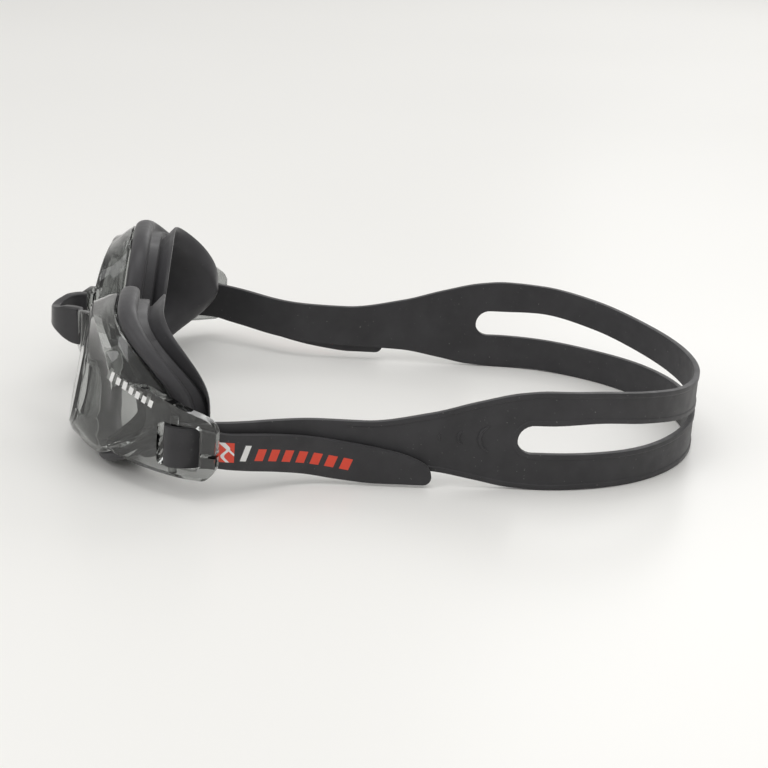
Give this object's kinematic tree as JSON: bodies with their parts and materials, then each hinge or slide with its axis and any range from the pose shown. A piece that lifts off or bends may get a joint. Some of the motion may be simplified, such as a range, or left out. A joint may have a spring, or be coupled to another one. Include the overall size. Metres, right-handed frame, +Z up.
{
  "type": "swim goggles",
  "caption": "Swim goggles with smoked wrap-around lenses, soft face gaskets, an arched nose bridge and a split silicone head strap with pull-through buckles.",
  "frame": {"origin": "on the table, under the middle of the goggles' length and width", "axes": "+Z up, +Y from the lenses towards the back of the strap, +X towards the wearer's left cup (the wearer looks along -Y)"},
  "size_m": [0.146, 0.1881, 0.0447],
  "materials": {
    "smoked_lens": "glossy smoked translucent polycarbonate",
    "gasket_silicone": "matt moulded silicone",
    "bridge_plastic": "dark glossy moulded plastic",
    "strap_silicone": "satin moulded silicone"
  },
  "bodies": {
    "front": {"lens_left": "smoked_lens", "lens_right": "smoked_lens", "gasket_left": "gasket_silicone", "gasket_right": "gasket_silicone", "nose_bridge": "bridge_plastic", "strap_fold_left": "strap_silicone", "strap_fold_right": "strap_silicone"},
    "strap_rear": {"strap_lead_left": "strap_silicone", "strap_lead_right": "strap_silicone", "strap_yoke_left": "strap_silicone", "strap_yoke_right": "strap_silicone", "strap_lower_band": "strap_silicone"},
    "tab_left": {"strap_tab_left": "strap_silicone"},
    "tab_right": {"strap_tab_right": "strap_silicone"},
    "upper_band": {"strap_upper_band": "strap_silicone"}
  },
  "joints": [
    {"name": "strap_adjust", "type": "slide", "parent": "front", "child": "strap_rear", "axis": [0, 1, 0], "range_m": [-0.016, 0.013], "deforming": ["strap_lead_left", "strap_lead_right"]},
    {"name": "tab_slide_left", "type": "slide", "parent": "front", "child": "tab_left", "axis": [0, 1, 0], "range_m": [-0.013, 0.016], "deforming": ["strap_tab_left"]},
    {"name": "tab_slide_right", "type": "slide", "parent": "front", "child": "tab_right", "axis": [0, 1, 0], "range_m": [-0.013, 0.016], "deforming": ["strap_tab_right"]},
    {"name": "upper_band_lift", "type": "hinge", "parent": "strap_rear", "child": "upper_band", "pos_m": [0, 0.0399, 0.0278], "axis": [1, 0, 0], "range_deg": [0, 25], "stiffness_Nm_per_rad": 0.01}
  ],
  "couplings": [
    {"joint": "tab_slide_left", "follows": "strap_adjust", "ratio": -1},
    {"joint": "tab_slide_right", "follows": "strap_adjust", "ratio": -1}
  ]
}
